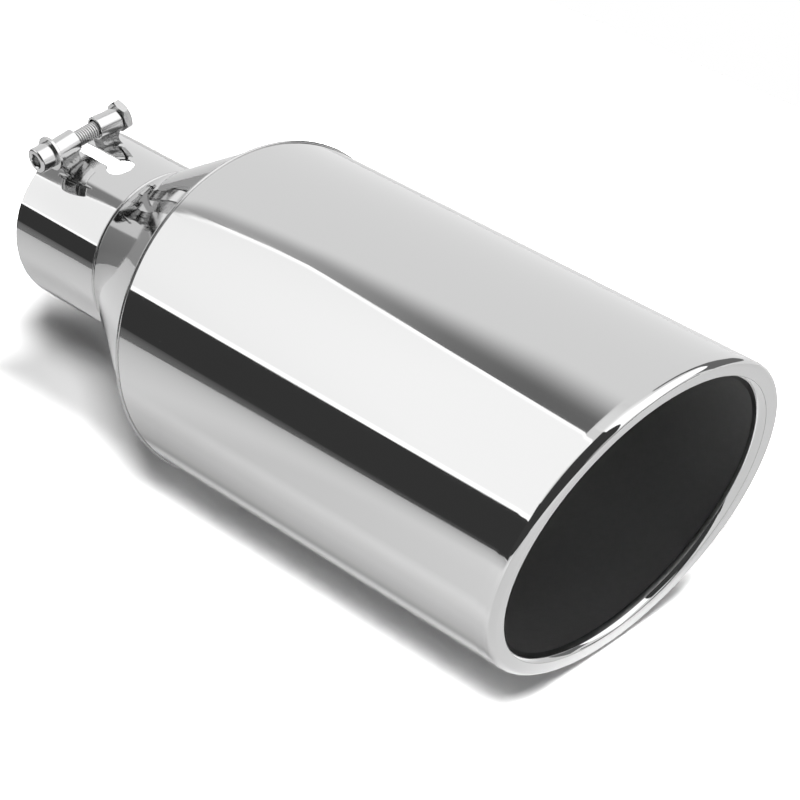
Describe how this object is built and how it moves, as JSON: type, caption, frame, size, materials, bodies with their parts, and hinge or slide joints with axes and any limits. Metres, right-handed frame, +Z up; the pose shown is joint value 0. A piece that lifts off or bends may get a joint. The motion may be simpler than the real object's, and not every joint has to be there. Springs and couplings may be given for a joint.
{
  "type": "exhaust tip",
  "caption": "Clamp-on exhaust tip: a slotted inlet neck with a clamp bolt flares through a cone into a wide polished barrel with a slanted, inward rolled lip.",
  "frame": {"origin": "centre of the inlet bore in the plane of the inlet end", "axes": "+X along the axis to the outlet, +Z up, towards the clamp bolt and the long side of the slanted end, +Y across, towards the nut"},
  "size_m": [0.5061, 0.2008, 0.2008],
  "materials": {
    "polished_stainless": "polished",
    "weld_steel": "polished over a weld bead",
    "plated_steel": "bright plated"
  },
  "bodies": {
    "root": {"inlet_neck": "polished_stainless", "transition_cone": "polished_stainless", "outer_barrel": "polished_stainless", "neck_seam_weld": "weld_steel", "barrel_seam_weld": "weld_steel", "head_side_sleeve": "plated_steel", "nut_side_sleeve": "plated_steel", "head_side_pedestal": "weld_steel", "nut_side_pedestal": "weld_steel", "clamp_bolt": "plated_steel", "flat_washer": "plated_steel", "hex_nut": "plated_steel"}
  },
  "joints": []
}
